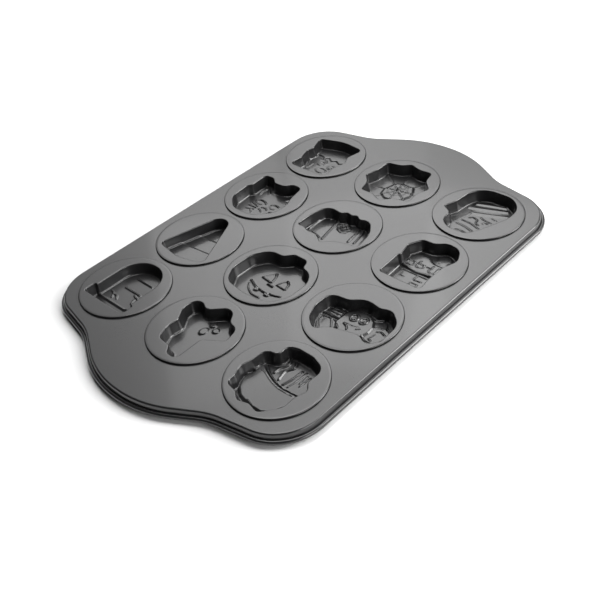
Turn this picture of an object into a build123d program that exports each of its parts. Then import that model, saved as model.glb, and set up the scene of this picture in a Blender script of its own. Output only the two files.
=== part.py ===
import os
from math import radians, tan

from build123d import *

# Tray for twelve moulded biscuits: a steel sheet with a wired rim carries twelve
# pressed moulds, each crimped into a round hole of the sheet. +X runs along the tray
# from handle to handle, and z = 0 is the floor that the moulds stand on. Millimetres.

sheet = 0.7
mould_depth = 10.5
wall_draft = 8.0

columns, rows = 4, 3
pitch_x, pitch_y = 79.0, 84.0

disc_radius = 37.5
hole_radius = 36.0
neck_clearance = 0.1
crimp_width = 1.1

ridge_width = 1.3
ridge_height = 0.9
floor_inset = 1.1

edge_radius = 1.4
skirt_drop = 5.8
skirt_flare = 5.0
wire_radius = 1.0
roll_gap = 0.1

# A quarter of the plate's edge: half a handle's bulge, the waist beside it and the
# corner, as (x, y, radius of the bend).
plate_quarter = [
    (193.2, 25.2, 92.0),
    (168.5, 69.5, 56.0),
    (156.5, 130.9, 36.0),
]

# Mouths of the moulds, as corners (x, y, radius) from the disc's centre. In a mould's
# own frame x points to the tray's -Y and y to the tray's +X.
tombstone_mouth = [
    (-24.6, -22.9, 2.6), (24.6, -22.9, 2.6), (24.6, -12.3, 2.0), (21.4, -12.3, 1.0),
    (21.4, 30.9, 21.0), (-21.4, 30.9, 21.0), (-21.4, -12.3, 1.0), (-24.6, -12.3, 2.0),
]
candy_corn_mouth = [
    (-3.9, 48.3, 9.5), (28.6, -22.3, 5.0), (3.4, -28.6, 40.0), (-23.8, -24.2, 4.5),
]
cat_mouth = [
    (-23.6, 22.6, 3.6), (-13.5, 23.0, 6.0), (-7.0, 17.6, 6.0), (4.2, 18.2, 8.0),
    (8.6, 24.4, 6.0), (19.6, 24.6, 5.5), (22.6, 8.0, 20.0), (26.8, -2.0, 10.0),
    (26.0, -17.0, 14.0), (11.5, -30.4, 14.0), (-10.5, -30.6, 14.0), (-24.0, -19.0, 14.0),
    (-25.6, 0.5, 5.0), (-22.4, 5.0, 3.0),
]
goblin_mouth = [
    (-25.4, 20.4, 2.8), (-2.0, 27.6, 45.0), (22.9, 24.9, 4.5), (19.3, 8.0, 5.0),
    (23.6, -0.5, 5.0), (20.5, -13.5, 5.0), (22.0, -28.0, 5.0), (-19.6, -28.2, 5.0),
    (-18.0, -13.8, 4.5), (-21.6, -1.5, 4.0), (-19.8, 5.0, 5.0),
]
ghost_mouth = [
    (7.0, 33.6, 8.0), (16.2, 19.6, 8.0), (25.5, 17.6, 7.0), (28.9, 4.0, 4.0),
    (25.0, 2.3, 3.5), (12.3, -5.3, 5.0), (12.6, -29.9, 5.0), (3.0, -29.9, 5.2),
    (-2.0, -23.2, 5.0), (-14.8, -22.4, 6.0), (-19.6, -10.0, 12.0), (-18.4, -0.5, 6.0),
    (-25.4, 10.0, 9.0), (-25.6, 23.4, 7.0), (-16.5, 22.8, 6.6), (-9.5, 18.9, 5.8),
]
pumpkin_mouth = [
    (-8.5, 21.6, 8.0), (-1.5, 28.6, 5.0), (12.9, 28.4, 5.0), (15.6, 19.8, 5.0),
    (25.0, 17.6, 14.0), (31.8, 7.5, 16.0), (31.5, -12.5, 18.0), (22.5, -27.0, 16.0),
    (-1.0, -28.6, 30.0), (-23.0, -25.4, 14.0), (-31.0, -11.5, 16.0), (-30.8, 8.0, 16.0),
    (-21.5, 21.6, 14.0),
]
bat_mouth = [
    (-25.8, 17.0, 9.0), (-9.6, 14.9, 4.0), (-5.2, 18.8, 4.0), (0.2, 17.2, 4.0),
    (4.4, 20.0, 3.6), (9.6, 16.2, 4.0), (18.6, 19.9, 9.0), (29.6, 6.0, 24.0),
    (33.0, -13.6, 3.6), (24.0, -14.8, 16.0), (13.0, -17.6, 16.0), (3.2, -25.4, 2.8),
    (-7.0, -18.8, 12.0), (-15.6, -19.6, 5.0), (-22.0, -16.8, 9.0), (-29.7, -17.2, 3.0),
    (-29.5, -2.0, 28.0),
]
web_mouth = [
    (-27.6, 21.4, 3.4), (-14.5, 23.6, 14.0), (-7.2, 30.0, 3.4), (4.5, 26.6, 14.0),
    (16.8, 28.0, 4.0), (19.6, 15.0, 12.0), (29.6, 5.8, 3.4), (24.6, -5.5, 12.0),
    (27.0, -18.6, 3.4), (13.0, -21.6, 12.0), (4.5, -30.2, 3.4), (-7.0, -25.4, 12.0),
    (-19.2, -25.4, 3.4), (-22.5, -13.0, 12.0), (-31.0, -4.8, 3.2), (-27.4, 8.0, 20.0),
]
cauldron_mouth = [
    (-15.3, 27.2, 5.0), (-7.5, 29.8, 12.0), (6.5, 29.6, 10.0), (20.6, 24.6, 9.0),
    (19.8, 9.6, 5.0), (25.3, 3.6, 5.0), (22.2, -6.0, 6.0), (22.6, -17.0, 12.0),
    (11.5, -30.2, 4.0), (2.0, -27.8, 6.0), (-7.0, -30.6, 5.0), (-14.0, -25.2, 6.0),
    (-24.6, -23.4, 4.4), (-25.0, -15.5, 3.4), (-29.0, -6.0, 12.0), (-26.2, 2.0, 3.4),
    (-25.4, 15.2, 6.0), (-14.4, 16.6, 5.0),
]
spider_mouth = [
    (-29.8, 9.4, 8.0), (-13.6, 11.4, 12.0), (-3.0, 19.6, 14.0), (11.0, 17.3, 10.0),
    (20.0, 20.8, 9.0), (33.0, 10.5, 14.0), (33.4, -10.0, 8.0), (26.5, -17.6, 5.0),
    (16.5, -12.8, 10.0), (5.5, -15.8, 26.0), (-6.8, -19.2, 7.0), (-14.4, -27.0, 4.2),
    (-25.0, -19.5, 14.0), (-30.2, -6.0, 14.0),
]
house_mouth = [
    (-17.7, -27.0, 2.6), (-18.9, -2.6, 2.2), (-16.9, -0.9, 2.2), (-20.2, 12.4, 3.2),
    (-14.0, 23.7, 4.0), (-2.8, 24.0, 12.0), (4.6, 30.4, 9.0), (17.6, 28.6, 11.0),
    (24.0, 16.0, 9.0), (19.2, 3.0, 12.0), (18.8, -14.0, 12.0), (20.6, -27.0, 2.8),
]
mummy_mouth = [
    (-22.0, 32.8, 19.0), (23.6, 33.0, 20.0), (24.2, 6.0, 30.0), (13.6, -20.5, 14.0),
    (7.5, -29.6, 7.0), (-8.5, -29.8, 12.0), (-18.8, -23.5, 12.0), (-19.6, -11.4, 5.0),
    (-29.2, -6.4, 2.6), (-24.6, 4.6, 8.0),
]

# Relief of the moulds. An area is (rise above the floor, outline); the floor outside the
# outline is raised instead where the rise is negative. Ridges are lines along the floor,
# each list with the rise of the area that it stands on.
tombstone_areas = [(1.3, [(-26, -13), (26, -13), (26, 40), (-26, 40)])]
tombstone_ridges = [(1.3, [
    [(-16, -4.2), (-12, -5.7), (-9, -9.7)],
    [(-11, -6.2), (-7, -6.2), (-4, -8.7)],
    [(4, 2.6), (9, 1.3), (11, 2.4)],
    [(-9, 4.6), (9, 4.6)],
    [(-9, 17.4), (9, 17.4)],
])]
candy_corn_areas = [
    (1.2, [(-30, -10.2), (-15, -9.2), (12, -5.7), (30, -4), (30, 50), (-30, 50)]),
    (2.4, [(-30, 7.4), (-12, 7.8), (6, 10.8), (30, 13), (30, 50), (-30, 50)]),
]
cat_ridges = [(0.0, [
    [(-20, 16.5), (-12, 12), (-17, 7.5)],
    [(17, 18), (8.5, 13), (14.5, 9)],
    [(-12, -0.5), (-8, 1.2), (-4, 0.5), (0, -1.5)],
    [(4, -0.5), (8, 1.5), (13, 1)],
    [(0, -7.5), (3, -6.5), (7, -8)],
    [(-2, -10.5), (1.5, -12.2), (5, -13)],
    [(-14, -5.5), (-4, -8)],
    [(-12, -15.5), (-4, -12.5)],
    [(10, -9), (19, -7)],
])]
goblin_areas = [(1.1, [
    (-28, 8.5), (-13, 9.5), (-9, 6.8), (-5, 9.6), (0, 6.4), (4, 9.2), (9, 6.6), (13, 9.3),
    (28, 8.5), (28, 40), (-28, 40),
])]
goblin_ridges = [(0.0, [
    [(-20, 2.8), (-19, -5.2), (-14, -13.2)],
    [(-8.5, -1), (-5.5, 2), (-2.5, -1), (-5.5, -4), (-8.5, -1)],
    [(4, -2.2), (7, 0.8), (10, -2.2), (7, -5.2), (4, -2.2)],
    [(-3, -10.8), (0, -8), (4, -8), (7, -10.8), (4, -13.6), (0, -13.6), (-3, -10.8)],
])]
ghost_bumps = [(-1.0, 17.0, 3.0, 3.0), (5.4, 13.6, 3.0, 3.0), (-2.2, 8.0, 3.4, 4.4)]
pumpkin_ridges = [(0.0, [
    [(-5, 10.5), (-1, 0.5), (-12, 1.5), (-5, 10.5)],
    [(9, 9), (14, 0.5), (4, 0.5), (9, 9)],
    [(-2.5, -2.5), (3, -3)],
    [(-17, -6), (-12, -8.6), (-7, -10.5), (-6.2, -13.4), (-4.2, -13.4), (-3.5, -11), (4, -11.5),
     (5, -14), (7, -14), (8, -11), (12.6, -10.4), (17, -8.5)],
    [(-15.5, -10), (-11, -15), (-4, -18.5)],
])]
bat_ridges = [(0.0, [
    [(-26, 12), (-26.5, 1), (-25.5, -7)],
    [(-20.5, 12), (-20.5, 2), (-18.6, -10)],
    [(-11.5, 12.8), (-10, 3.8), (-7, -12.2)],
    [(10.5, 14.8), (12, 5.8), (13.5, -8)],
    [(16, 15), (18, 7), (20, -8)],
    [(-7.5, 9), (-4, 14.4), (1.6, 14.2), (4.6, 9.2), (1.2, 4), (-4.4, 4.2), (-7.5, 9)],
])]
web_areas = [(-1.1, [
    (-15, 4), (-9, 12), (0, 14.5), (9, 12), (14, 4.5), (14, -5), (9, -12), (0, -15),
    (-9, -12.5), (-15, -5),
])]
web_ridges = [
    (0.0, [[(0, 0), (-12.6, 9.6)], [(0, 0), (-3.6, 14.4)], [(0, 0), (7.6, 12.8)], [(0, 0), (14.2, 2.8)],
           [(0, 0), (11.2, -7.6)], [(0, 0), (2.2, -14.6)], [(0, 0), (-9.6, -12.5)], [(0, 0), (-15, -2.3)]]),
]
cauldron_areas = [(1.1, [
    (-32, 14), (-21, 11.6), (-17, 10.6), (-10, 7.6), (-3, 3.6), (4, 1.6), (15, 2.1), (30, 4),
    (30, 40), (-32, 40),
])]
cauldron_ridges = [(1.1, [
    [(-21, 11.6), (-17, 10.6), (-10, 7.6), (-3, 3.6), (4, 1.6), (15, 2.1), (20, 3)],
    [(-8.5, 20.6), (-12, 14.6), (-12, 10.4)],
    [(-4, 20.6), (-7, 15.6), (-6, 9.6)],
    [(3, 20.6), (2, 11.6), (0, 5)],
    [(7, 18.6), (6, 11.6), (5, 4.6)],
    [(10, 18.6), (11, 9.6), (12, 4.6)],
])]
spider_areas = [(-1.1, [
    (-14, 6), (-10, 12), (-4, 15.5), (3, 16), (9, 13), (14, 7), (15, 1), (12, -7), (6, -11),
    (-3, -12.5), (-10, -9), (-14, -2),
])]
spider_ridges = [
    (0.0, [
        [(-7.6, 5.8), (-4.2, 9.4), (-0.8, 5.8), (-4.2, 2.2), (-7.6, 5.8)],
        [(0.8, 6.8), (4.2, 10.4), (7.6, 6.8), (4.2, 3.2), (0.8, 6.8)],
        [(-8, -1.5), (-4, -3.2), (0, -3.4), (4, -2.4), (7, 0)],
    ]),
    (1.1, [
        [(-27, 7), (-20, 7.6), (-16, 8)],
        [(-28, -1), (-20, -1), (-16, -0.5)],
        [(-25, -5), (-24, -10), (-20, -16)],
        [(14, 13.6), (20, 12.6), (26, 8)],
        [(17, 6), (22, 5.6), (29, 3)],
        [(17, -1), (22, -1.4), (29, -4)],
    ]),
]
house_areas = [(1.1, [
    (-26, -0.2), (-17, -0.3), (-10, -2.3), (0, -2.8), (11, -1.6), (26, 0), (26, 40), (-26, 40),
])]
house_bumps = [(8.2, 21.6, 7.0, 7.0)]
house_ridges = [
    (1.1, [
        [(-14, 6.4), (-14, 1.8), (-8.2, 1.8), (-8.2, 6.4), (-14, 6.4)],
        [(-5.2, 6.4), (-5.2, 2.0), (0, 2.0), (0, 9.8), (-5.2, 6.4)],
        [(6.6, 9.2), (6.6, 1.8), (11.4, 1.8), (11.4, 9.2), (6.6, 9.2)],
    ]),
    (0.0, [
        [(-15, -5.3), (14, -5.3)],
        [(-12.5, -7.8), (-12.5, -22)],
        [(2.5, -10.8), (2.5, -7.4), (9, -7.4), (9, -10.8), (2.5, -10.8)],
    ]),
]
mummy_areas = [
    (1.0, [(-30, 2), (-12, 7.3), (-3, 10.8), (14, 16.8), (34, 24), (34, 50), (-30, 50)]),
    (2.0, [(-30, 6), (-17, 11.8), (-5, 17.8), (7, 23.8), (30, 34), (30, 50), (-30, 50)]),
]
mummy_ridges = [(0.0, [
    [(-10, 1.8), (-8, 3.3), (-4, 3.3), (-2, 0.8), (-1, -2.7), (2, -3.7)],
    [(3.2, 1.8), (5.6, 4), (8, 1.8), (5.6, -0.4), (3.2, 1.8)],
    [(-13, -4.2), (-4, -6.6), (5, -7.2)],
    [(-14, -10.2), (-6, -12.2), (2, -12.7)],
    [(-10, -16.2), (-6, -17.2), (3, -18)],
])]

disc_top = sheet + mould_depth
plate_top = disc_top - 2 * sheet
roll_radius = wire_radius + sheet
roll_height = plate_top - skirt_drop
roll_offset = skirt_drop * tan(radians(skirt_flare)) + wire_radius + roll_gap

plate_corners = plate_quarter + [(-x, y, r) for x, y, r in reversed(plate_quarter)]
plate_corners += [(-x, -y, r) for x, y, r in plate_corners]


def bent_outline(corners):
    """Draws straight runs joined by tangent bends, in the open line builder."""
    points = [(x, y) for x, y, _ in corners]
    return FilletPolyline(*points, radius=[r for _, _, r in corners], close=True)


with BuildLine(Plane.XY.offset(roll_height)) as rim_line:
    bent_outline(plate_corners)
    offset(amount=roll_offset, mode=Mode.REPLACE)
rim_path = rim_line.wire()
rim_section = Plane(origin=rim_path @ 0, z_dir=rim_path % 0)

# Plate: a flat sheet with a flared skirt, whose lower edge is rolled round the wire.
with BuildPart() as tray_plate:
    with BuildSketch(Plane.XY.offset(plate_top)):
        with BuildLine():
            bent_outline(plate_corners)
        make_face()
    extrude(amount=-skirt_drop, taper=-skirt_flare)
    fillet(tray_plate.faces().sort_by(Axis.Z)[-1].edges(), edge_radius)
    with BuildSketch(Plane.XY.offset(plate_top - sheet)):
        with BuildLine():
            bent_outline(plate_corners)
        make_face()
        offset(amount=-sheet)
    extrude(amount=sheet - skirt_drop, taper=-skirt_flare, mode=Mode.SUBTRACT)
    with BuildSketch(rim_section):
        Circle(roll_radius)
    sweep(path=rim_path)
    with BuildSketch(rim_section):
        Circle(wire_radius)
    sweep(path=rim_path, mode=Mode.SUBTRACT)
    with BuildSketch(Plane.XY.offset(plate_top)):
        with GridLocations(pitch_x, pitch_y, columns, rows):
            Circle(hole_radius)
    extrude(amount=-sheet, mode=Mode.SUBTRACT)
tray_plate.part.label = "tray_plate"

# Rim wire: one closed loop of round wire inside the rolled edge.
with BuildPart() as rim_wire:
    with BuildSketch(rim_section):
        Circle(wire_radius)
    sweep(path=rim_path)
rim_wire.part.label = "rim_wire"


def mould(name, mouth, column, row, areas=(), ridges=(), bumps=()):
    """Presses one mould: a disc with a hemmed edge, a crimped neck and a drafted cup."""
    x = (column - (columns - 1) / 2) * pitch_x
    y = (row - (rows - 1) / 2) * pitch_y
    neck = hole_radius - neck_clearance
    hem_under = disc_top - 2 * sheet
    crimp_top = hem_under - sheet
    disc_plane = Plane(origin=(x, y, disc_top), x_dir=(0, -1, 0), z_dir=(0, 0, 1))
    under_plane = Plane(origin=(x, y, 0), x_dir=(0, -1, 0), z_dir=(0, 0, 1))
    ridge_plane = Plane(origin=(x, y, sheet / 2), x_dir=(0, -1, 0), z_dir=(0, 0, 1))
    section_plane = Plane(origin=(x, y, 0), x_dir=(1, 0, 0), z_dir=(0, -1, 0))

    with BuildSketch() as floor:
        with BuildLine():
            bent_outline(mouth)
        make_face()
        offset(amount=-floor_inset)

    with BuildPart() as pressing:
        with BuildSketch(section_plane):
            with BuildLine():
                Polyline((disc_radius - sheet, disc_top), (0, disc_top), (0, disc_top - sheet),
                         (neck - sheet, disc_top - sheet), (neck - sheet, crimp_top - sheet),
                         (neck + crimp_width, crimp_top - sheet), (neck + crimp_width, crimp_top),
                         (neck, crimp_top), (neck, hem_under), (disc_radius - sheet, hem_under))
                ThreePointArc((disc_radius - sheet, hem_under), (disc_radius, disc_top - sheet),
                              (disc_radius - sheet, disc_top))
            make_face()
        revolve(axis=Axis((x, y, 0), (0, 0, 1)))
        with BuildSketch(disc_plane):
            with BuildLine():
                bent_outline(mouth)
            make_face()
            offset(amount=sheet)
        extrude(amount=-disc_top, taper=wall_draft)
        with BuildSketch(disc_plane):
            with BuildLine():
                bent_outline(mouth)
            make_face()
        extrude(amount=-mould_depth, taper=wall_draft, mode=Mode.SUBTRACT)
        for rise, corners in areas:
            with BuildSketch(under_plane):
                add(floor.sketch_local)
                with BuildLine():
                    Polyline(*corners, close=True)
                make_face(mode=Mode.INTERSECT if rise > 0 else Mode.SUBTRACT)
            extrude(amount=abs(rise) + sheet)
        for rise, corners in areas:
            with BuildSketch(under_plane):
                add(floor.sketch_local)
                with BuildLine():
                    Polyline(*corners, close=True)
                make_face(mode=Mode.INTERSECT if rise > 0 else Mode.SUBTRACT)
                offset(amount=-sheet)
            extrude(amount=abs(rise), mode=Mode.SUBTRACT)
        for rise, lines in ridges:
            with BuildSketch(ridge_plane):
                for line in lines:
                    with BuildLine():
                        Polyline(*line)
                        offset(amount=ridge_width / 2)
                    make_face()
                add(floor.sketch_local, mode=Mode.INTERSECT)
            extrude(amount=sheet / 2 + rise + ridge_height)
        for u, v, wide, tall in bumps:
            with BuildSketch(ridge_plane):
                with Locations((u, v)):
                    Ellipse(wide, tall)
            extrude(amount=sheet / 2 + ridge_height)
    pressing.part.label = name
    return pressing.part


moulds = [
    mould("ghost_mould", ghost_mouth, 0, 1, bumps=ghost_bumps),
    mould("tombstone_mould", tombstone_mouth, 0, 2, tombstone_areas, tombstone_ridges),
    mould("cauldron_mould", cauldron_mouth, 0, 0, cauldron_areas, cauldron_ridges),
    mould("candy_corn_mould", candy_corn_mouth, 1, 2, candy_corn_areas),
    mould("pumpkin_mould", pumpkin_mouth, 1, 1, ridges=pumpkin_ridges),
    mould("spider_mould", spider_mouth, 1, 0, spider_areas, spider_ridges),
    mould("cat_mould", cat_mouth, 2, 2, ridges=cat_ridges),
    mould("bat_mould", bat_mouth, 2, 1, ridges=bat_ridges),
    mould("house_mould", house_mouth, 2, 0, house_areas, house_ridges, house_bumps),
    mould("goblin_mould", goblin_mouth, 3, 2, goblin_areas, goblin_ridges),
    mould("web_mould", web_mouth, 3, 1, web_areas, web_ridges),
    mould("mummy_mould", mummy_mouth, 3, 0, mummy_areas, mummy_ridges),
]

os.makedirs("parts", exist_ok=True)
for piece in [tray_plate.part, rim_wire.part, *moulds]:
    export_step(piece, f"parts/{piece.label}.step")
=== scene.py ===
from math import ceil, cos, pi, radians, sin, tan

import bmesh
import bpy
import numpy as np
from mathutils import Matrix, Vector


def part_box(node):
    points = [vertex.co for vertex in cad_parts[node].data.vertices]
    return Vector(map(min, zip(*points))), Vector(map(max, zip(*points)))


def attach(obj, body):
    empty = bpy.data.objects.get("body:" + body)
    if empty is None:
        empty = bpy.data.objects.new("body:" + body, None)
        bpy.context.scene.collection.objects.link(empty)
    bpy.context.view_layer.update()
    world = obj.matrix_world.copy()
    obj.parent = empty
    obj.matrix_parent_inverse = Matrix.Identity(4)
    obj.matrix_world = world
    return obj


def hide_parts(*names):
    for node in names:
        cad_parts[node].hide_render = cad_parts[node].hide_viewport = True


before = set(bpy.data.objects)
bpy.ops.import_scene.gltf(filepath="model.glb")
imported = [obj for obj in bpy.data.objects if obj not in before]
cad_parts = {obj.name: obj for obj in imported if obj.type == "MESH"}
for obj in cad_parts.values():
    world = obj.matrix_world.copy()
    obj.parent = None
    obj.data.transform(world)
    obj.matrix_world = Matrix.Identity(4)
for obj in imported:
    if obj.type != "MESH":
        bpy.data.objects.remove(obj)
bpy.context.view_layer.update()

# The tray is drawn in millimetres in its own frame, and set in metres on leaving.
MM = 0.001

sheet = 0.7
mould_depth = 10.5
wall_draft = radians(8.0)
mouth_rounding = 1.0
flat_strip = 0.25
disc_radius = 37.5
neck_radius = 35.9
crimp_width = 1.1
hole_radius = 36.0
disc_top = 11.2
plate_top = disc_top - 2 * sheet
floor_spacing = 0.45
ring_points = 144
hole_points = 96
wall_spacing = 0.8
plate_spacing = 2.0
smallest_bend = 0.12
straight_share = 0.6
weld_distance = 0.005

mouth_steps = 5
wall_steps = 5
foot_steps = 12
foot_loops = 9
hem_steps = 8
neck_rounding = 0.2
relief_start = 6.0
relief_fade = 3.0
stroke_reach = 1.25
curve_steps = 6

plate_quarter = [
    (193.2, 25.2, 92.0),
    (168.5, 69.5, 56.0),
    (156.5, 130.9, 36.0),
]
edge_radius = 1.4
skirt_drop = 5.8
skirt_flare = radians(5.0)
wire_radius = 1.0
roll_gap = 0.1
wire_clearance = 0.02
shoulder_steps = 6
skirt_inset = 0.12
skirt_margin = 0.5
roll_steps = 16
roll_start = 178
roll_turn = 332

# Each mould's mouth, as corners with their radii, in the mould's own frame with its top up.
mouths = {
    "tombstone": [
        (-24.6, -22.9, 2.6), (24.6, -22.9, 2.6), (24.6, -12.3, 2.0), (21.4, -12.3, 1.0),
        (21.4, 30.9, 21.0), (-21.4, 30.9, 21.0), (-21.4, -12.3, 1.0), (-24.6, -12.3, 2.0),
    ],
    "candy_corn": [
        (-3.9, 48.3, 9.5), (28.6, -22.3, 5.0), (3.4, -28.6, 40.0), (-23.8, -24.2, 4.5),
    ],
    "cat": [
        (-23.6, 22.6, 3.6), (-13.5, 23.0, 6.0), (-7.0, 17.6, 6.0), (4.2, 18.2, 8.0),
        (8.6, 24.4, 6.0), (19.6, 24.6, 5.5), (22.6, 8.0, 20.0), (26.8, -2.0, 10.0),
        (26.0, -17.0, 14.0), (11.5, -30.4, 14.0), (-10.5, -30.6, 14.0), (-24.0, -19.0, 14.0),
        (-25.6, 0.5, 5.0), (-22.4, 5.0, 3.0),
    ],
    "goblin": [
        (-25.4, 20.4, 2.8), (-2.0, 27.6, 45.0), (22.9, 24.9, 4.5), (19.3, 8.0, 5.0),
        (23.6, -0.5, 5.0), (20.5, -13.5, 5.0), (22.0, -28.0, 5.0), (-19.6, -28.2, 5.0),
        (-18.0, -13.8, 4.5), (-21.6, -1.5, 4.0), (-19.8, 5.0, 5.0),
    ],
    "ghost": [
        (7.0, 33.6, 8.0), (16.2, 19.6, 8.0), (25.5, 17.6, 7.0), (28.9, 4.0, 4.0),
        (25.0, 2.3, 3.5), (12.3, -5.3, 5.0), (12.6, -29.9, 5.0), (3.0, -29.9, 5.2),
        (-2.0, -23.2, 5.0), (-14.8, -22.4, 6.0), (-19.6, -10.0, 12.0), (-18.4, -0.5, 6.0),
        (-25.4, 10.0, 9.0), (-25.6, 23.4, 7.0), (-16.5, 22.8, 6.6), (-9.5, 18.9, 5.8),
    ],
    "pumpkin": [
        (-8.5, 21.6, 8.0), (-1.5, 28.6, 5.0), (12.9, 28.4, 5.0), (15.6, 19.8, 5.0),
        (25.0, 17.6, 14.0), (31.8, 7.5, 16.0), (31.5, -12.5, 18.0), (22.5, -27.0, 16.0),
        (-1.0, -28.6, 30.0), (-23.0, -25.4, 14.0), (-31.0, -11.5, 16.0), (-30.8, 8.0, 16.0),
        (-21.5, 21.6, 14.0),
    ],
    "bat": [
        (-25.8, 17.0, 9.0), (-9.6, 14.9, 4.0), (-5.2, 18.8, 4.0), (0.2, 17.2, 4.0),
        (4.4, 20.0, 3.6), (9.6, 16.2, 4.0), (18.6, 19.9, 9.0), (29.6, 6.0, 24.0),
        (33.0, -13.6, 3.6), (24.0, -14.8, 16.0), (13.0, -17.6, 16.0), (3.2, -25.4, 2.8),
        (-7.0, -18.8, 12.0), (-15.6, -19.6, 5.0), (-22.0, -16.8, 9.0), (-29.7, -17.2, 3.0),
        (-29.5, -2.0, 28.0),
    ],
    "web": [
        (-27.6, 21.4, 3.4), (-14.5, 23.6, 14.0), (-7.2, 30.0, 3.4), (4.5, 26.6, 14.0),
        (16.8, 28.0, 4.0), (19.6, 15.0, 12.0), (29.6, 5.8, 3.4), (24.6, -5.5, 12.0),
        (27.0, -18.6, 3.4), (13.0, -21.6, 12.0), (4.5, -30.2, 3.4), (-7.0, -25.4, 12.0),
        (-19.2, -25.4, 3.4), (-22.5, -13.0, 12.0), (-31.0, -4.8, 3.2), (-27.4, 8.0, 20.0),
    ],
    "cauldron": [
        (-15.3, 27.2, 5.0), (-7.5, 29.8, 12.0), (6.5, 29.6, 10.0), (20.6, 24.6, 9.0),
        (19.8, 9.6, 5.0), (25.3, 3.6, 5.0), (22.2, -6.0, 6.0), (22.6, -17.0, 12.0),
        (11.5, -30.2, 4.0), (2.0, -27.8, 6.0), (-7.0, -30.6, 5.0), (-14.0, -25.2, 6.0),
        (-24.6, -23.4, 4.4), (-25.0, -15.5, 3.4), (-29.0, -6.0, 12.0), (-26.2, 2.0, 3.4),
        (-25.4, 15.2, 6.0), (-14.4, 16.6, 5.0),
    ],
    "spider": [
        (-29.8, 9.4, 8.0), (-13.6, 11.4, 12.0), (-3.0, 19.6, 14.0), (11.0, 17.3, 10.0),
        (20.0, 20.8, 9.0), (33.0, 10.5, 14.0), (33.4, -10.0, 8.0), (26.5, -17.6, 5.0),
        (16.5, -12.8, 10.0), (5.5, -15.8, 26.0), (-6.8, -19.2, 7.0), (-14.4, -27.0, 4.2),
        (-25.0, -19.5, 14.0), (-30.2, -6.0, 14.0),
    ],
    "house": [
        (-17.7, -27.0, 2.6), (-18.9, -2.6, 2.2), (-16.9, -0.9, 2.2), (-20.2, 12.4, 3.2),
        (-14.0, 23.7, 4.0), (-2.8, 24.0, 12.0), (4.6, 30.4, 9.0), (17.6, 28.6, 11.0),
        (24.0, 16.0, 9.0), (19.2, 3.0, 12.0), (18.8, -14.0, 12.0), (20.6, -27.0, 2.8),
    ],
    "mummy": [
        (-22.0, 32.8, 19.0), (23.6, 33.0, 20.0), (24.2, 6.0, 30.0), (13.6, -20.5, 14.0),
        (7.5, -29.6, 7.0), (-8.5, -29.8, 12.0), (-18.8, -23.5, 12.0), (-19.6, -11.4, 5.0),
        (-29.2, -6.4, 2.6), (-24.6, 4.6, 8.0),
    ],
}

# Radius between each mould's wall and its floor.
floor_rounding = {
    "tombstone": 1.8, "candy_corn": 2.0, "cat": 1.8, "goblin": 1.6, "ghost": 2.0, "pumpkin": 1.8,
    "bat": 1.0, "web": 1.2, "cauldron": 1.6, "spider": 1.2, "house": 1.6, "mummy": 1.2,
}

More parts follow.
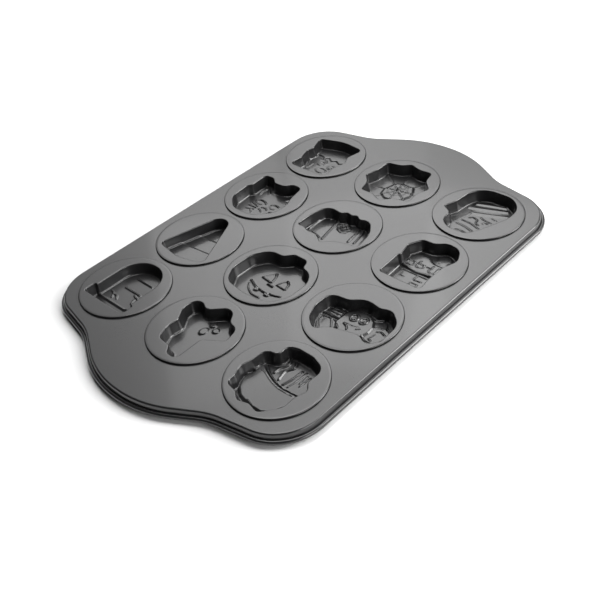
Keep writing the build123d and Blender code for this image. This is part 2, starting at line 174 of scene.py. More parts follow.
# Each mould's relief, in its own frame. A line is a ridge pressed up into the floor, with its
# width and height. A level is an area raised by its height, or with a negative height the area
# round it raised instead, and the softness of its edge. A ring is a ridge round an ellipse, and
# a dome is a rounded rise.
reliefs = {
    "tombstone": [
        ("level", [(-26, -13), (26, -13), (26, 40), (-26, 40)], 1.3, 0.9),
        ("line", [(-21, -13.4), (11, -13.4)], 1.1, 1.3),
        ("line", [(-9, 4.9), (9, 4.9)], 1.0, 0.8),
        ("line", [(-9, 17.4), (9, 17.4)], 0.8, 0.56),
        ("line", [(-16, -4.2), (-12, -5.7), (-9, -9.7)], 0.85, 0.8),
        ("line", [(-11, -6.2), (-7, -6.2), (-4, -8.7)], 0.85, 0.72),
        ("line", [(5, 2.6), (8, 1.3), (11, 0.8)], 0.8, 0.64),
        ("line", [(9, -1.2), (11, -5.7)], 0.8, 0.64),
    ],
    "candy_corn": [
        ("level", [(-30, 8.6), (-9, 10), (6.5, 11.7), (30, 13.6), (30, 50), (-30, 50)], -0.8, 1.1),
        ("level", [(-30, -7.6), (-11, -6), (12, -4), (30, -2.4), (30, 50), (-30, 50)], -0.8, 1.1),
    ],
    "cat": [
        ("line", [(-17.4, 7.2), (-18.6, 12.5), (-17, 17), (-14, 16.4), (-10, 12.5)], 1.0, 0.74),
        ("line", [(17, 18), (10.5, 12), (14.5, 9)], 0.9, 0.56),
        ("line", [(-12.5, -0.5), (-9, 1.2), (-4, 0.7), (-0.5, -1.2)], 1.0, 0.74),
        ("line", [(4.5, 0.2), (8, 2), (13, 1.2)], 1.0, 0.74),
        ("line", [(-12, -2.5), (-8, -4.5), (-3, -3.5)], 0.7, 0.43),
        ("line", [(5, -2.5), (8, -4.2), (12, -3.4)], 0.7, 0.43),
        ("line", [(-0.5, -7.2), (3, -6.2), (6.5, -7.8)], 0.9, 0.68),
        ("line", [(-2, -9.8), (1.5, -11.2), (4.5, -12.8)], 0.8, 0.56),
        ("line", [(-14, -5.5), (-4, -8)], 0.8, 0.56),
        ("line", [(-14, -10.5), (-4, -10)], 0.8, 0.56),
        ("line", [(-12.5, -15.5), (-4, -12.5)], 0.8, 0.56),
        ("line", [(-7, -15), (-3, -18)], 0.8, 0.5),
        ("line", [(10, -9), (19, -7)], 0.7, 0.5),
        ("line", [(10, -11.5), (19, -12)], 0.7, 0.5),
    ],
    "goblin": [
        ("level", [(-28, 8.5), (-13, 9.5), (-9, 6.8), (-5, 9.6), (0, 6.4), (4, 9.2), (9, 6.6),
                   (13, 9.3), (28, 8.5), (28, 40), (-28, 40)], 1.1, 0.8),
        ("line", [(-20, 2.8), (-19, -5.2), (-14, -13.2)], 0.8, 0.56),
        ("line", [(-13, -5.2), (-13, -12.2)], 0.8, 0.49),
        ("line", [(-12, 5.6), (-8, 6.2), (-5, 5.2), (-1, 1.8)], 0.8, 0.56),
        ("ring", (-5.5, -1.0), (3.2, 3.2), 0.8, 0.56),
        ("ring", (7, -2.2), (3.2, 3.2), 0.8, 0.56),
        ("dome", (-5.8, -2.4), (1.4, 1.4), 0.7),
        ("dome", (7, -3.2), (1.4, 1.4), 0.7),
        ("ring", (2, -10.8), (5.5, 3.4), 0.8, 0.56),
    ],
    "ghost": [
        ("dome", (-1, 17), (2.9, 2.9), 1.0),
        ("dome", (5.4, 13.6), (2.9, 2.9), 1.0),
        ("dome", (-2.2, 8), (3.3, 4.3), 1.0),
    ],
    "pumpkin": [
        ("line", [(-5.4, 10.8), (-3, 7.6), (-1.2, 1.2)], 1.0, 1.02),
        ("line", [(-12, 1.6), (-1.8, 0.2)], 0.9, 0.85),
        ("line", [(-5.4, 10.8), (-10, 4.8), (-12, 1.6)], 0.7, 0.51),
        ("line", [(8.6, 9), (12, 6.4), (13.8, 1)], 1.0, 1.02),
        ("line", [(4.2, 0.8), (13.4, 0)], 0.8, 0.77),
        ("line", [(8.6, 9), (6.6, 6.4), (4.6, 2.4)], 0.7, 0.59),
        ("line", [(-2.4, -2.3), (3.2, -2.9)], 1.1, 1.1),
        ("line", [(-17.4, -6.2), (-12, -8.6), (-7, -10.6)], 1.0, 1.1),
        ("line", [(-7, -10.6), (-6.6, -13.4), (-3.9, -13.2), (-3.5, -11)], 1.0, 1.1),
        ("line", [(-3.5, -11), (0, -11.3), (4, -11.6)], 1.0, 1.1),
        ("line", [(4, -11.6), (4.8, -13.6), (7.6, -13.4), (8, -10.6)], 1.0, 1.1),
        ("line", [(8, -10.6), (12.6, -9.6), (16.6, -8)], 1.0, 1.1),
        ("line", [(-16, -9.6), (-12.6, -14), (-8, -17), (-3.4, -18.6), (4, -18.4)], 0.8, 0.68),
    ],
    "bat": [
        ("level", [(-8, 9), (-6.4, 13.6), (-2, 15.6), (2.6, 13.8), (4.6, 9.6), (3, 5), (-1, 3.2),
                   (-6, 5)], -0.9, 0.8),
        ("line", [(-25.2, 17), (-26.4, 6), (-26, -7.4)], 1.2, 1.02),
        ("line", [(-21, 15.8), (-20, 13.4)], 0.9, 0.59),
        ("line", [(-11.6, 14.6), (-10, 2), (-7, -12.4)], 1.3, 1.1),
        ("line", [(10.5, 17), (12, 8.6), (13.5, -3.4)], 1.2, 1.1),
        ("line", [(14, 17), (17, 8.8), (19, -2.4)], 1.1, 1.02),
        ("line", [(20, 15), (22.4, 7), (23.4, 0)], 0.8, 0.59),
        ("line", [(-21, -9), (-15, -10.6), (-9.6, -12.6)], 0.8, 0.59),
        ("ring", (-3.8, 11.4), (1.5, 1.3), 0.7, 0.68),
        ("ring", (0.8, 11.4), (1.5, 1.3), 0.7, 0.68),
        ("line", [(-5, 8), (-1.6, 6.4), (2, 8)], 0.7, 0.68),
    ],
    "web": [
        ("level", [(-10, 6), (-7.6, 10), (-2.4, 12), (3, 11.6), (8.6, 12), (12.4, 6), (14.4, -1),
                   (11, -9), (4, -14), (-4, -14), (-10.6, -10), (-12.4, -3)], 1.3, 1.5),
        ("line", [(0, 0), (-25, 19)], 0.8, 0.6),
        ("line", [(0, 0), (-7, 28)], 0.8, 0.6),
        ("line", [(0, 0), (15.5, 26)], 0.8, 0.6),
        ("line", [(0, 0), (27, 5.4)], 0.8, 0.6),
        ("line", [(0, 0), (25, -17)], 0.8, 0.6),
        ("line", [(0, 0), (4.2, -28)], 0.8, 0.6),
        ("line", [(0, 0), (-18, -23.5)], 0.8, 0.6),
        ("line", [(0, 0), (-29, -4.4)], 0.8, 0.6),
        ("line", [(-4, 3), (-1.2, 4.8), (2.5, 4.2), (4.9, 1), (4.1, -2.8), (0.7, -5), (-3, -4), (-4.9, -0.7),
                  (-4, 3)], 0.6, 0.32),
        ("line", [(-7.4, 5.6), (-2.2, 9), (4.7, 7.9), (9.2, 1.8), (7.7, -5.2), (1.4, -9.4), (-5.7, -7.4),
                  (-9.3, -1.4), (-7.4, 5.6)], 0.6, 0.32),
    ],
    "cauldron": [
        ("level", [(-26.3, -3.4), (-25.3, -10), (-21.5, -16.6), (-15, -21.6), (-5, -24), (6, -24), (13, -20),
                   (17.6, -10), (19.4, -1), (21, 1.9), (15, 1.7), (5, 1), (-3, 2), (-10, 4.6), (-16, 7.2),
                   (-20, 10), (-23.4, 9.6), (-25.4, 6), (-25.2, 2.4), (-23.8, 0.6)], 2.3, 1.1),
        ("line", [(-20, 9.6), (-16, 6.8), (-10, 4.2), (-3, 1.9), (5, 0.9), (15, 1.5), (20, 1.8)], 1.2, 1.3),
        ("line", [(-22.4, 4), (-17, 4.4), (-10, 1.6), (-3, -0.6), (5, -1.6), (15, -1)], 0.5, 0.28),
        ("line", [(-7.6, -21.6), (-5, -22.4), (-1.6, -23.4)], 0.8, 0.64),
        ("line", [(-12, 25.6), (-9.6, 21), (-12, 15), (-12.4, 9)], 1.15, 1.25),
        ("line", [(-6, 25.6), (-4, 20.6), (-7, 14.6), (-5.4, 6)], 1.1, 1.2),
        ("line", [(2.8, 21), (2, 12), (0.4, 4.6)], 1.15, 1.2),
        ("line", [(6, 22), (5.6, 12), (4.6, 4.6)], 0.8, 0.72),
        ("line", [(8.8, 20), (9, 12)], 0.8, 0.64),
        ("line", [(11.4, 20), (10.8, 10)], 0.8, 0.64),
        ("line", [(-17, 24), (-16.4, 20)], 0.9, 0.64),
    ],
    "spider": [
        ("level", [(-13, 8), (-9, 13), (-4, 15.3), (1, 15.8), (6, 14.3), (10.5, 11), (13.3, 6), (14, 0),
                   (12, -7), (6, -11.5), (-3, -12.5), (-10, -9.5), (-13.4, -3)], 1.4, 1.0),
        ("ring", (-3.8, 6), (3, 3.4), 1.0, 0.84),
        ("ring", (4.2, 7), (2.8, 3.4), 1.0, 0.84),
        ("dome", (-2.8, 5.2), (0.9, 0.9), 0.8),
        ("dome", (4.4, 6.2), (0.9, 0.9), 0.8),
        ("line", [(-6.6, -2.9), (-3.6, -4), (-2, -5.2), (-0.6, -7)], 0.9, 0.77),
        ("line", [(-7, -2), (0, -1.6), (6, -0.2)], 0.6, 0.35),
        ("line", [(5, -2.8), (7, -1.2)], 0.8, 0.63),
        ("line", [(-24, 7.6), (-20, 8.9), (-13, 8.6)], 1.0, 0.84),
        ("line", [(-26, 4.8), (-16, 5.4)], 0.6, 0.28),
        ("line", [(-26, 2), (-16, 2.6)], 0.6, 0.28),
        ("line", [(-28, -1.4), (-20, -0.8), (-14, -0.6)], 1.0, 0.84),
        ("line", [(-25, -4.4), (-20, -3.2), (-13.6, -3.4), (-11.4, -6.2), (-7.6, -9)], 0.9, 0.63),
        ("line", [(-18, -4), (-15, -7.4), (-13, -10)], 0.8, 0.56),
        ("line", [(-28, -5), (-26.6, -10), (-22, -16)], 0.8, 0.63),
        ("line", [(-25.4, -4.4), (-24.6, -10), (-20, -16)], 0.8, 0.63),
        ("line", [(9.6, 14), (15, 16.6), (19, 14.6), (22, 11)], 0.9, 0.7),
        ("line", [(22, 11), (26, 9.6), (30, 6)], 0.9, 0.7),
        ("line", [(14, 7), (18, 9), (21, 9.6)], 0.8, 0.49),
        ("line", [(18, 4.8), (21, 6.2), (25, 5)], 0.8, 0.63),
        ("line", [(18.6, 2), (17.6, -3)], 0.6, 0.35),
        ("line", [(17.6, -4.2), (20, -5)], 0.9, 0.63),
        ("line", [(12, -5.4), (16.6, -7.4), (20.6, -7)], 0.8, 0.56),
    ],
    "house": [
        ("level", [(-17, -2.2), (-16.6, 8), (-14.6, 14), (-11, 17), (-2.6, 17.6), (-0.4, 16), (1, 14.2),
                   (5, 12.6), (13, 12.8), (13.4, -2.2)], 1.2, 1.0),
        ("dome", (8.4, 21.8), (6, 6.4), 0.7),
        ("line", [(-15.4, -1), (-8, -2.4), (0, -2.8), (11, -2)], 1.3, 0.72),
        ("line", [(-14.6, 6.4), (-14.4, 1.8), (-8.6, 1.6), (-8.6, 6.2)], 0.8, 0.54),
        ("line", [(-14.4, 6.4), (-8.6, 6.2)], 0.8, 0.54),
        ("line", [(-5.4, 9.6), (-5.4, 2.4), (0, 2.4), (0, 6.4)], 0.8, 0.54),
        ("line", [(-5.4, 6.4), (0.2, 6.2)], 0.8, 0.54),
        ("line", [(2.8, 6), (7, 6)], 0.8, 0.54),
        ("line", [(6.6, 9.6), (6.6, 2.2), (11.6, 2.2), (11.6, 9.2)], 0.8, 0.54),
        ("line", [(-16, -5.3), (11, -5)], 0.8, 0.54),
        ("line", [(-12.6, -7.8), (-12.6, -22)], 0.8, 0.54),
        ("line", [(-9.6, -12.2), (-6, -12.4)], 0.7, 0.36),
        ("line", [(2.6, -6), (2.6, -10.8), (9.4, -10.8)], 0.8, 0.54),
        ("line", [(2.6, -15), (9, -15), (9, -21), (2.6, -21), (2.6, -15)], 0.7, 0.42),
    ],
    "mummy": [
        ("line", [(-16, 22.6), (-4, 26.6), (8, 30)], 2.0, 0.72),
        ("line", [(-19, 14.6), (-4, 19.6), (12, 25.6)], 2.0, 0.78),
        ("line", [(-11, 9.4), (2, 14), (16, 19.4)], 2.0, 0.78),
        ("line", [(-12.4, 10), (-14.4, 2), (-17, -6)], 1.1, 0.72),
        ("line", [(-20, 4), (-22, 0), (-24, -3)], 0.8, 0.52),
        ("line", [(-10, 2.2), (-8, 3.9), (-4.6, 3.6), (-2.2, 1.8), (-1.2, -1.6), (2, -3.2)], 0.9, 0.78),
        ("line", [(4, 0.6), (4.8, 2.8), (7.4, 2.4)], 0.9, 0.72),
        ("line", [(-2, 7.2), (2, 5.6), (9, 4.6)], 0.9, 0.65),
        ("line", [(6, 10.8), (11, 9.8)], 0.8, 0.52),
        ("line", [(-13, -3.6), (-4, -4.4), (5, -7.2)], 0.9, 0.65),
        ("line", [(-14, -9.6), (-6, -10.4), (2, -12.8)], 1.1, 0.65),
        ("line", [(-10, -17), (-5, -16.6), (0, -18)], 0.9, 0.65),
    ],
}


def bend_frame(corners):
    """Gives each corner of a closed outline its inward normals, turn and side."""
    count = len(corners)
    points = [Vector(corner[:2]) for corner in corners]
    area = sum(points[i - 1].cross(points[i]) for i in range(count))
    side = 1 if area > 0 else -1
    bends = []
    for i, point in enumerate(points):
        into = (point - points[i - 1]).normalized()
        out = (points[(i + 1) % count] - point).normalized()
        turn = side * into.cross(out)
        normals = [Vector((-side * way.y, side * way.x)) for way in (into, out)]
        bends.append((point, normals, into.angle(out), 1 if turn > 0 else -1, corners[i][2]))
    return bends


def outline_ring(corners, inset, spacing):
    """Points of the closed outline set in by inset, the same number at every inset."""
    bends = bend_frame(corners)
    starts, arcs = [], []
    for point, (before, after), angle, convex, radius in bends:
        apex = point + (before + after) * inset / (1 + before.dot(after))
        bend = max(radius - convex * inset, smallest_bend)
        reach = bend * tan(angle / 2)
        centre_way = (before + after).normalized() * convex
        centre = apex + centre_way * bend / cos(angle / 2)
        steps = max(3, ceil(angle * (radius + 1.0) / spacing))
        first = -before * convex
        last = -after * convex
        spread = [(first * sin(angle * (1 - k / steps)) + last * sin(angle * k / steps)) / sin(angle)
                  for k in range(steps + 1)]
        arcs.append([centre + way * bend for way in spread])
        starts.append(reach)
    ring = []
    for i, arc in enumerate(arcs):
        ring += arc
        after = arcs[(i + 1) % len(arcs)]
        length = (Vector(corners[(i + 1) % len(corners)][:2]) - Vector(corners[i][:2])).length
        pieces = max(1, ceil(length * straight_share / spacing))
        ring += [arc[-1].lerp(after[0], k / pieces) for k in range(1, pieces)]
    return ring


def circle_ring(radius, points=ring_points):
    return [Vector((radius * cos(2 * pi * k / points), radius * sin(2 * pi * k / points)))
            for k in range(points)]


def add_loop(bm, ring, height):
    """Adds a closed loop of edges at one height, or at one height for each point."""
    heights = height if hasattr(height, "__len__") else [height] * len(ring)
    verts = [bm.verts.new((p.x, p.y, z)) for p, z in zip(ring, heights)]
    return [bm.edges.new((verts[i - 1], verts[i])) for i in range(len(verts))]


def join_loops(bm, loops):
    for upper, lower in zip(loops, loops[1:]):
        bmesh.ops.bridge_loops(bm, edges=upper + lower)


def smooth_faces(bm):
    """Marks what is made so far as smooth; the large flat faces are filled in after it."""
    for face in bm.faces:
        face.smooth = True


def line_distance(points, run):
    """Distance from each point to a line of straight steps."""
    best = np.full(len(points), 1e9)
    for start, end in zip(run, run[1:]):
        way = np.subtract(end, start)
        along = np.clip((points - start) @ way / max(way @ way, 1e-12), 0, 1)
        best = np.minimum(best, np.linalg.norm(points - start - along[:, None] * way, axis=1))
    return best


def inside(points, ring):
    x, y = points[:, 0], points[:, 1]
    odd = np.zeros(len(points), bool)
    for (x0, y0), (x1, y1) in zip(ring, ring[1:] + ring[:1]):
        crosses = (y0 > y) != (y1 > y)
        rise = y1 - y0 if y1 != y0 else 1e-9
        odd ^= crosses & (x < (x1 - x0) * (y - y0) / rise + x0)
    return odd


def soft_step(value):
    value = np.clip(value, 0, 1)
    return value * value * (3 - 2 * value)


def smooth_run(run):
    """Rounds an open line of a few points."""
    if len(run) < 3:
        return run
    points = [np.array(p, float) for p in run]
    points = [2 * points[0] - points[1], *points, 2 * points[-1] - points[-2]]
    line = []
    for a, b, c, d in zip(points, points[1:], points[2:], points[3:]):
        for k in range(curve_steps):
            t = k / curve_steps
            line.append(0.5 * (2 * b + (c - a) * t + (2 * a - 5 * b + 4 * c - d) * t ** 2
                               + (3 * b - a - 3 * c + d) * t ** 3))
    return line + [points[-2]]


def relief_height(points, motif):
    """Height of a mould's relief over its floor, in millimetres."""
    height = np.zeros(len(points))
    for kind, place, *sizes in motif:
        if kind == "line":
            width, rise = sizes
            closed = place[0] == place[-1]
            run = place if closed else smooth_run(place)
            away = line_distance(points, run) / (width * stroke_reach)
            height += rise * soft_step(1 - away)
        elif kind == "level":
            rise, softness = sizes
            edge = line_distance(points, place + place[:1])
            raised = inside(points, place) if rise > 0 else ~inside(points, place)
            height += abs(rise) * soft_step(0.5 + np.where(raised, edge, -edge) / (2 * softness))
        elif kind == "ring":
            (wide, tall), width, rise = sizes
            offset = (points - place) / (wide, tall)
            mean_radius = (wide + tall) / 2
            away = np.abs(np.linalg.norm(offset, axis=1) - 1) * mean_radius / (width * stroke_reach)
            height += rise * soft_step(1 - away)
        elif kind == "dome":
            (wide, tall), rise = sizes
            offset = np.linalg.norm((points - place) / (wide, tall), axis=1)
            height += rise * soft_step((1.15 - offset) / 0.45)
    return height


def wall_profile(rounding):
    """Steps of the wall as (inset, depth), from the disc's face to near the floor."""
    lean = pi / 2 - wall_draft
    start = -mouth_rounding * tan(lean / 2)
    steps = [(start - flat_strip, 0.0)]
    for k in range(mouth_steps + 1):
        turn = lean * k / mouth_steps
        steps.append((start + mouth_rounding * sin(turn), mouth_rounding * (1 - cos(turn))))
    foot = mould_depth * tan(wall_draft)
    rise = rounding * tan(lean / 2)
    top_inset = foot - rise * sin(wall_draft)
    top_depth = mould_depth - rise * cos(wall_draft)
    first_inset, first_depth = steps[-1]
    for k in range(1, wall_steps):
        t = k / wall_steps
        steps.append((first_inset + (top_inset - first_inset) * t,
                      first_depth + (top_depth - first_depth) * t))
    for k in range(foot_loops):
        turn = lean * (1 - k / foot_steps)
        steps.append((foot + rise - rounding * sin(turn), mould_depth - rounding * (1 - cos(turn))))
    return steps


def floor_depth(inset, rounding):
    """Depth of the plain floor at a distance from the mouth's outline."""
    foot = mould_depth * tan(wall_draft)
    rise = rounding * tan((pi / 2 - wall_draft) / 2)
    away = np.clip(foot + rise - inset, 0, rounding)
    return mould_depth - (rounding - np.sqrt(rounding ** 2 - away ** 2))


def collar_section():
    """Section of a mould's hemmed edge, neck and crimped foot, as (radius, height)."""
    inner = neck_radius - sheet
    fold = disc_radius - sheet
    section = [(inner, 0.0), (fold, 0.0)]
    section += [(fold + sheet * sin(pi * k / hem_steps), sheet * (cos(pi * k / hem_steps) - 1))
                for k in range(1, hem_steps + 1)]
    section += [(neck_radius + neck_rounding, -2 * sheet),
                (neck_radius, -2 * sheet - neck_rounding)]
    section += [(neck_radius, -3 * sheet), (neck_radius + crimp_width, -3 * sheet)]
    section += [(neck_radius + crimp_width, -4 * sheet), (inner, -4 * sheet), (inner, -sheet)]
    return section


def lay_floor(bm, foot):
    """Lays a grid of small squares inside the foot of the wall, and joins it to the foot."""
    ring = [tuple(edge.verts[0].co.xy) for edge in foot]
    segments = round(2 * disc_radius / floor_spacing)
    grid = bmesh.ops.create_grid(bm, x_segments=segments, y_segments=segments, size=disc_radius,
                                 matrix=Matrix.Translation((0, 0, foot[0].verts[0].co.z)))["verts"]
    flat = np.array([vert.co[:2] for vert in grid])
    keep = inside(flat, ring) & (line_distance(flat, ring + ring[:1]) > 0.4 * floor_spacing)
    bmesh.ops.delete(bm, geom=[vert for vert, kept in zip(grid, keep) if not kept], context="VERTS")
    grid = [vert for vert, kept in zip(grid, keep) if kept]
    while True:
        pinched = {vert for vert in grid if sum(edge.is_boundary for edge in vert.link_edges) != 2
                   and not all(len(edge.link_faces) == 2 for edge in vert.link_edges)
                   or not vert.link_faces}
        if not pinched:
            break
        grid = [vert for vert in grid if vert not in pinched]
        bmesh.ops.delete(bm, geom=list(pinched), context="VERTS")
    border = list({edge for vert in grid for edge in vert.link_edges if edge.is_boundary})
    bmesh.ops.triangle_fill(bm, edges=border + foot, use_beauty=True)


def press_mould(name):
    """Presses one mould: its relief, its wall, its disc and the collar that holds it."""
    corners = mouths[name]
    rounding = floor_rounding[name]
    bm = bmesh.new()
    section = [bm.verts.new((radius, 0, z)) for radius, z in collar_section()]
    line = [bm.edges.new(pair) for pair in zip(section, section[1:])]
    bmesh.ops.spin(bm, geom=section + line, cent=(0, 0, 0), axis=(0, 0, 1), angle=2 * pi,
                   steps=ring_points, use_merge=True)
    collar = set(bm.verts), set(bm.edges), set(bm.faces)

    loops = [add_loop(bm, outline_ring(corners, inset, wall_spacing), -depth)
             for inset, depth in wall_profile(rounding)]
    join_loops(bm, loops)
    wall_set = {vert for loop in loops for edge in loop for vert in edge.verts}
    lay_floor(bm, loops[-1])
    verts = [vert for vert in bm.verts if vert not in collar[0]]
    faces = [face for face in bm.faces if face not in collar[2]]
    bmesh.ops.recalc_face_normals(bm, faces=faces)
    if sum(face.normal.z * face.calc_area() for face in faces) < 0:
        bmesh.ops.reverse_faces(bm, faces=faces)
    bm.normal_update()

    mouth_line = [tuple(p) for p in outline_ring(corners, 0.0, wall_spacing)]
    flat = np.array([v.co[:2] for v in verts])
    depth = -np.array([v.co.z for v in verts])
    fresh = np.array([v not in wall_set for v in verts])
    away = line_distance(flat, mouth_line + mouth_line[:1])
    depth = np.where(fresh, floor_depth(away, rounding), depth)
    rise = relief_height(flat, reliefs[name]) * soft_step((depth - relief_start) / relief_fade)
    upright = {v for edge in loops[0] + loops[-1] for v in edge.verts}
    under = [Vector((0, 0, sheet)) if new or v in upright else v.normal * sheet
             for v, new in zip(verts, fresh)]
    for vert, down, up in zip(verts, depth, rise):
        vert.co.z = up - down

    edges = [edge for edge in bm.edges if edge not in collar[1]]
    copied = bmesh.ops.duplicate(bm, geom=verts + edges + faces)
    partner = copied["vert_map"]
    for vert, offset in zip(verts, under):
        partner[vert].co -= offset
    bmesh.ops.reverse_faces(bm, faces=[part for part in copied["geom"]
                                       if isinstance(part, bmesh.types.BMFace)])
    lower_rim = [bm.edges.get((partner[e.verts[0]], partner[e.verts[1]])) for e in loops[0]]
    smooth_faces(bm)
    for mouth, height in ((loops[0], 0.0), (lower_rim, -sheet)):
        neck = add_loop(bm, circle_ring(neck_radius - sheet), height)
        bmesh.ops.triangle_fill(bm, edges=neck + mouth, use_beauty=False)

    bmesh.ops.remove_doubles(bm, verts=bm.verts, dist=weld_distance)
    bmesh.ops.recalc_face_normals(bm, faces=bm.faces)
    return bm


def place_mould(bm, node):
    """Turns a mould so that its top points along +X, and sets it in its hole."""
    low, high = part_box(node)
    centre = (Vector(low) + Vector(high)) / 2
    turn = Matrix(((0, 1, 0, 0), (-1, 0, 0, 0), (0, 0, 1, 0), (0, 0, 0, 1)))
    set_down = Matrix.Translation((centre.x, centre.y, high[2]))
    bmesh.ops.transform(bm, matrix=set_down @ Matrix.Scale(MM, 4) @ turn, verts=bm.verts)


def finish_piece(bm, name, material, sharp=radians(40)):
    mesh = bpy.data.meshes.new(name)
    for edge in bm.edges:
        edge.smooth = edge.calc_face_angle(pi) < sharp
    bm.to_mesh(mesh)
    bm.free()
    piece = bpy.data.objects.new(name, mesh)
    bpy.context.collection.objects.link(piece)
    mesh.materials.append(material)
    return piece


# Materials

class Mix:
    """A socket that takes part in sums."""

    def __init__(self, tree, socket):
        self.tree = tree
        self.socket = socket

    def node(self, kind, settings=None, inputs=None, output=0):
        added = self.tree.nodes.new(kind)
        for key, value in (settings or {}).items():
            setattr(added, key, value)
        for key, value in (inputs or {}).items():
            if isinstance(value, Mix):
                self.tree.links.new(value.socket, added.inputs[key])
            else:
                added.inputs[key].default_value = value
        return Mix(self.tree, added.outputs[output])

    def _sum(self, operation, first, second):
        return self.node("ShaderNodeMath", {"operation": operation}, {0: first, 1: second})

    def __add__(self, other):
        return self._sum("ADD", self, other)

    def __radd__(self, other):
        return self._sum("ADD", other, self)

    def __sub__(self, other):
        return self._sum("SUBTRACT", self, other)

    def __rsub__(self, other):
        return self._sum("SUBTRACT", other, self)

    def __mul__(self, other):
        return self._sum("MULTIPLY", self, other)

    def __rmul__(self, other):
        return self._sum("MULTIPLY", other, self)


def start_material(name):
    material = bpy.data.materials.new(name)
    material.use_nodes = True
    tree = material.node_tree
    shader = tree.nodes["Principled BSDF"]
    place = Mix(tree, tree.nodes.new("ShaderNodeTexCoord").outputs["Object"])
    return material, tree, shader, place


def coated_steel():
    """Satin dark grey non-stick coating with a fine speckle and a faint spray ripple."""
    material, tree, shader, place = start_material("satin_coating")
    speckle = place.node("ShaderNodeTexNoise", {}, {"Vector": place, "Scale": 2600.0, "Detail": 2.0})
    cloud = place.node("ShaderNodeTexNoise", {}, {"Vector": place, "Scale": 18.0, "Detail": 3.0})
    tone = place.node("ShaderNodeMix", {"data_type": "RGBA"},
                      {0: speckle, 6: (0.01, 0.01, 0.0105, 1), 7: (0.018, 0.018, 0.0185, 1)}, output=2)
    tree.links.new(tone.socket, shader.inputs["Base Color"])
    rough = 0.24 + 0.05 * cloud + 0.05 * speckle
    tree.links.new(rough.socket, shader.inputs["Roughness"])
    grain = place.node("ShaderNodeBump", {}, {"Height": speckle, "Strength": 0.12, "Distance": 0.00005})
    tree.links.new(grain.socket, shader.inputs["Normal"])
    shader.inputs["Metallic"].default_value = 0.0
    shader.inputs["IOR"].default_value = 1.55
    shader.inputs["Coat Weight"].default_value = 0.3
    shader.inputs["Coat Roughness"].default_value = 0.08
    return material


def pale_floor():
    material, _, shader, _ = start_material("pale_floor")
    shader.inputs["Base Color"].default_value = (0.9, 0.9, 0.9, 1)
    shader.inputs["Roughness"].default_value = 0.9
    shader.inputs["Specular IOR Level"].default_value = 0.1
    return material


# Pieces

coating = coated_steel()

for name in mouths:
    node = name + "_mould"
    bm = press_mould(name)
    place_mould(bm, node)
    piece = finish_piece(bm, "pressed_" + node, coating)
    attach(piece, "root")
    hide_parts(node)


def plate_corners():
    half = plate_quarter + [(-x, y, r) for x, y, r in reversed(plate_quarter)]
    return half + [(-x, -y, r) for x, y, r in half]


def sheet_section():
    """Section of the plate's edge: rounded shoulder, flared skirt and roll round the wire."""
    lean = pi / 2 - skirt_flare
    flare = tan(skirt_flare)
    roll_height = plate_top - skirt_drop
    roll_centre = skirt_drop * flare + wire_radius + roll_gap
    outer = [(-edge_radius - flat_strip, plate_top)]
    inner = [(-edge_radius - flat_strip, plate_top - sheet)]
    for k in range(shoulder_steps + 1):
        turn = lean * k / shoulder_steps
        outer.append((-edge_radius + edge_radius * sin(turn),
                      plate_top - edge_radius * (1 - cos(turn))))
        small = edge_radius - sheet
        inner.append((-edge_radius + small * sin(turn),
                      plate_top - sheet - small * (1 - cos(turn))))
    roll_out = wire_radius + sheet
    outer.append((skirt_drop * flare - skirt_inset, roll_height + roll_out + skirt_margin))
    inner.append((skirt_drop * flare - sheet - skirt_inset, roll_height + roll_out + skirt_margin))
    for k in range(roll_steps + 1):
        turn = radians(roll_start + roll_turn * k / roll_steps)
        outer.append((roll_centre + (wire_radius + wire_clearance) * cos(turn),
                      roll_height + (wire_radius + wire_clearance) * sin(turn)))
        inner.append((roll_centre + roll_out * cos(turn), roll_height + roll_out * sin(turn)))
    return outer + inner[::-1]


def press_plate():
    bm = bmesh.new()
    corners = plate_corners()
    loops = [add_loop(bm, outline_ring(corners, -out, plate_spacing), z) for out, z in sheet_section()]
    join_loops(bm, loops)
    levels = (loops[0], plate_top), (loops[-1], plate_top - sheet)
    holes = []
    for name in mouths:
        low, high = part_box(name + "_mould")
        centre = (Vector(low) + Vector(high)).xy / 2 / MM
        ring = [centre + p for p in circle_ring(hole_radius, hole_points)]
        holes.append([add_loop(bm, ring, height) for _, height in levels])
        join_loops(bm, holes[-1])
    smooth_faces(bm)
    for side, (rim, _) in enumerate(levels):
        bmesh.ops.triangle_fill(bm, edges=rim + sum([hole[side] for hole in holes], []))
    bmesh.ops.recalc_face_normals(bm, faces=bm.faces)
    bmesh.ops.transform(bm, matrix=Matrix.Scale(MM, 4), verts=bm.verts)
    return bm


piece = finish_piece(press_plate(), "rolled_plate", coating, sharp=radians(50))
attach(piece, "root")
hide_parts("tray_plate")

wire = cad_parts["rim_wire"]
wire.material_slots[0].material = coating

# Stage and light

floor_reach = 1.3
floor_bm = bmesh.new()
bmesh.ops.create_grid(floor_bm, x_segments=1, y_segments=1, size=floor_reach)
backdrop = finish_piece(floor_bm, "floor", pale_floor())

world = bpy.data.worlds.new("studio")
bpy.context.scene.world = world
world.use_nodes = True
backdrop_nodes = world.node_tree.nodes
seen = backdrop_nodes.new("ShaderNodeLightPath").outputs["Is Camera Ray"]
strength = backdrop_nodes.new("ShaderNodeMapRange")
strength.inputs["To Min"].default_value = 0.01
strength.inputs["To Max"].default_value = 1.0
world.node_tree.links.new(seen, strength.inputs["Value"])
world.node_tree.links.new(strength.outputs["Result"], backdrop_nodes["Background"].inputs["Strength"])
backdrop_nodes["Background"].inputs["Color"].default_value = (1, 1, 1, 1)
bpy.context.scene.view_settings.view_transform = "Standard"

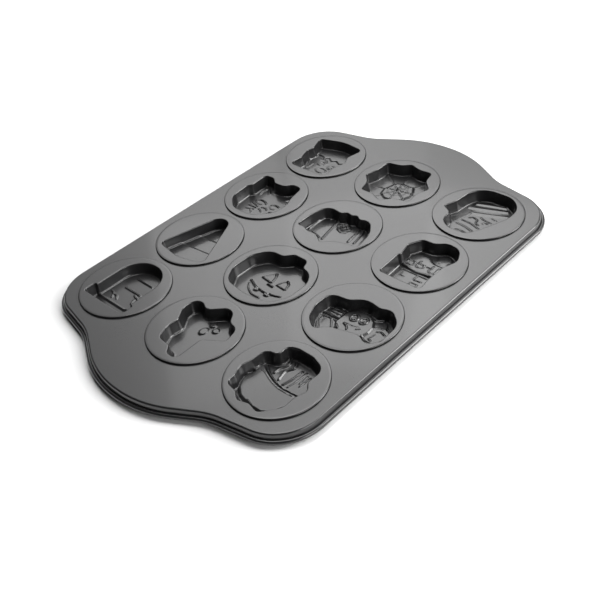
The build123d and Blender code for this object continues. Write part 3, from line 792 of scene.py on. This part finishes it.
# Softboxes round the tray: heading to the right of straight ahead, height, side and power.
softbox_distance = 2.0
softboxes = {
    "far_low": (0, 22, 0.9, 1.6),
    "far_left": (-15, 35, 0.9, 2.8),
    "far_middle": (15, 35, 0.9, 4.0),
    "far_high": (0, 45, 0.9, 5.2),
    "far_right": (30, 45, 0.9, 6.0),
    "right": (60, 45, 0.9, 4.6),
    "top": (0, 72, 1.0, 19.5),
    "right_high": (95, 45, 0.9, 18.5),
    "right_low": (95, 22, 0.9, 31.0),
    "near_right": (140, 22, 0.9, 17.0),
}
ahead = radians(41.5)


def hang_softbox(name, heading, height, side, power):
    lamp = bpy.data.lights.new(name, "AREA")
    lamp.shape = "SQUARE"
    lamp.size = side
    lamp.energy = power
    light = bpy.data.objects.new(name, lamp)
    bpy.context.collection.objects.link(light)
    bearing, rise = ahead + radians(heading), radians(height)
    way = Vector((sin(bearing) * cos(rise), cos(bearing) * cos(rise), sin(rise)))
    light.location = way * softbox_distance
    light.rotation_euler = (-light.location).to_track_quat("-Z", "Y").to_euler()


for name, setting in softboxes.items():
    hang_softbox(name, *setting)

# Camera

azimuth, elevation, roll = radians(-41.528), radians(39.350), radians(-8.133)
focal_pixels, picture_width, distance = 849.2, 600, 681.23
sensor_width = 36.0
slide_right, slide_up = 4.019, 41.215
back = Vector((sin(azimuth) * cos(elevation), -cos(azimuth) * cos(elevation), sin(elevation)))
level_right = Vector((0, 0, 1)).cross(back).normalized()
level_up = back.cross(level_right)
right = level_right * cos(roll) + level_up * sin(roll)
up = level_up * cos(roll) - level_right * sin(roll)
eye = back * distance - right * slide_right - up * slide_up + Vector((0, 0, disc_top))

camera_data = bpy.data.cameras.new("camera")
camera = bpy.data.objects.new("camera", camera_data)
bpy.context.collection.objects.link(camera)
camera_data.sensor_width = sensor_width
camera_data.lens = sensor_width * focal_pixels / picture_width
camera_data.clip_start = 0.01
camera_data.clip_end = 50
turned = Matrix((right, up, back)).transposed().to_4x4()
camera.matrix_world = Matrix.Translation(eye * MM) @ turned
bpy.context.scene.camera = camera
